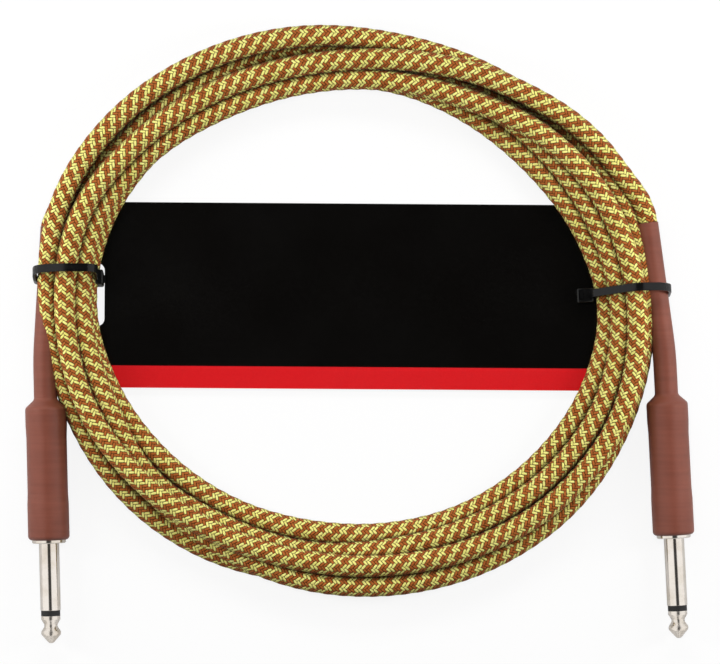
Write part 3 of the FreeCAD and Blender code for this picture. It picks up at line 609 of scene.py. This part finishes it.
def head_mesh(tie):
    """The head: a block with rounded edges round an open window."""
    rectangles = ((*tie["head"], HEAD_WIDTH / 2), (*tie["window"], WINDOW_WIDTH / 2))
    form = bmesh.new()
    loops = []
    for level in tie["head_depth"]:
        for low, high, half in rectangles:
            ring = []
            for up, side in ((low, -half), (low, half), (high, half), (high, -half)):
                across, height = (up, level) if tie["head_flat"] else (level, up)
                ring.append(form.verts.new(tie_spot(tie, across, height, side) * MM))
            loops.append(ring)
    front_outer, front_window, back_outer, back_window = loops
    for one in range(4):
        two = (one + 1) % 4
        form.faces.new((front_outer[one], front_outer[two], front_window[two], front_window[one]))
        form.faces.new((back_outer[two], back_outer[one], back_window[one], back_window[two]))
        form.faces.new((front_outer[two], front_outer[one], back_outer[one], back_outer[two]))
        form.faces.new((front_window[one], front_window[two], back_window[two], back_window[one]))
    bmesh.ops.recalc_face_normals(form, faces=form.faces)
    outer_verts = set(front_outer + back_outer)
    edges = [edge for edge in form.edges if set(edge.verts) <= outer_verts]
    rims = [edge for edge in form.edges if not set(edge.verts) & outer_verts and edge.calc_face_angle(0) > 0.5
            and (set(edge.verts) <= set(front_window) or set(edge.verts) <= set(back_window))]
    bmesh.ops.bevel(form, geom=rims, offset=WINDOW_ROUND * MM, segments=2, profile=0.5, affect="EDGES")
    edges = [edge for edge in edges if edge.is_valid]
    bmesh.ops.bevel(form, geom=edges, offset=HEAD_ROUND * MM, segments=4, profile=0.5, affect="EDGES")
    mesh = bpy.data.meshes.new("head")
    form.to_mesh(mesh)
    form.free()
    return mesh


def make_tie(side, material):
    """One cable tie as a single moulded piece: the head and its strap joined in one mesh."""
    tie = TIES[side]
    form = bmesh.new()
    for mesh in (strap_mesh(tie), head_mesh(tie)):
        form.from_mesh(mesh)
        bpy.data.meshes.remove(mesh)
    bmesh.ops.recalc_face_normals(form, faces=form.faces)
    mesh = bpy.data.meshes.new(f"{side}_cable_tie")
    form.to_mesh(mesh)
    form.free()
    mesh.polygons.foreach_set("use_smooth", [True] * len(mesh.polygons))
    mesh.set_sharp_from_angle(angle=math.radians(SHARP_ANGLE))
    piece = add_object(f"{side}_cable_tie", mesh, material)
    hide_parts(f"{side}_tie")


def add_floor():
    """A matt grey floor that takes the object's shadow, and that the camera sees as white."""
    corners = [(x * FLOOR_REACH, y * FLOOR_REACH, 0) for x, y in ((-1, -1), (1, -1), (1, 1), (-1, 1))]
    mesh = bpy.data.meshes.new("floor")
    mesh.from_pydata(corners, [], [(0, 1, 2, 3)])
    grey = (FLOOR_GREY, FLOOR_GREY, FLOOR_GREY, 1.0)
    graph = Graph("floor", Base_Color=grey, Roughness=0.9, Specular_IOR_Level=0.1)
    glow = graph.node("ShaderNodeEmission", {0: (1.0, 1.0, 1.0, 1.0), 1: FLOOR_GLOW})
    share = graph.calc("MULTIPLY", graph.ray("Is Camera Ray"), FLOOR_GLOW_SHARE)
    both = graph.node("ShaderNodeMixShader", {0: share, 1: graph.shader.outputs[0], 2: glow})
    graph.put(graph.output.inputs[0], both)
    mesh.materials.append(graph.material)
    floor = bpy.data.objects.new("floor", mesh)
    bpy.context.scene.collection.objects.link(floor)


def add_lamp(name, place, size, power):
    """A soft box that faces the object and doesn't show in what shines."""
    data = bpy.data.lights.new(name, "AREA")
    data.shape = "RECTANGLE"
    data.size, data.size_y = size
    data.energy = power
    lamp = bpy.data.objects.new(name, data)
    lamp.location = place
    lamp.rotation_euler = (Vector(LAMPS_AIM) - Vector(place)).to_track_quat("-Z", "Y").to_euler()
    lamp.visible_glossy = False
    bpy.context.scene.collection.objects.link(lamp)


def add_world():
    """Shiny surfaces see the sides and the gap, matt ones a share of that light, the camera white."""
    world = bpy.data.worlds.new("studio")
    world.use_nodes = True
    graph = Nodes(world.node_tree)
    calc = graph.calc
    x, _, z = graph.split(graph.node("ShaderNodeTexCoord", output=0))
    angle = calc("ABSOLUTE", calc("ADD", calc("ARCTAN2", x, z), math.radians(GAP_SHIFT)))
    gap_edge = [math.radians(GAP_HALF + side * GAP_SOFTNESS) for side in (-1, 1)]
    pattern = graph.smooth(angle, *gap_edge, GAP_LIGHT, SIDE_LIGHT)
    glossy = graph.ray("Is Glossy Ray")
    shiny = calc("MULTIPLY", glossy, pattern)
    matt = calc("MULTIPLY", calc("MULTIPLY", calc("SUBTRACT", 1.0, glossy), pattern), PLAIN_LIGHT)
    background = world.node_tree.nodes["Background"]
    graph.put(background.inputs[1], calc("MAXIMUM", calc("ADD", shiny, matt), graph.ray("Is Camera Ray")))
    background.inputs[0].default_value = (1.0, 1.0, 1.0, 1.0)
    bpy.context.scene.world = world


add_camera()
add_floor()
add_world()
for lamp_name, (lamp_place, lamp_size, lamp_power) in LAMPS.items():
    add_lamp(lamp_name, lamp_place, lamp_size, lamp_power)
make_cable()
made = dress_nodes()
for tie_side in TIES:
    make_tie(tie_side, made["cable_tie"])
bpy.context.scene.view_settings.view_transform = "Standard"
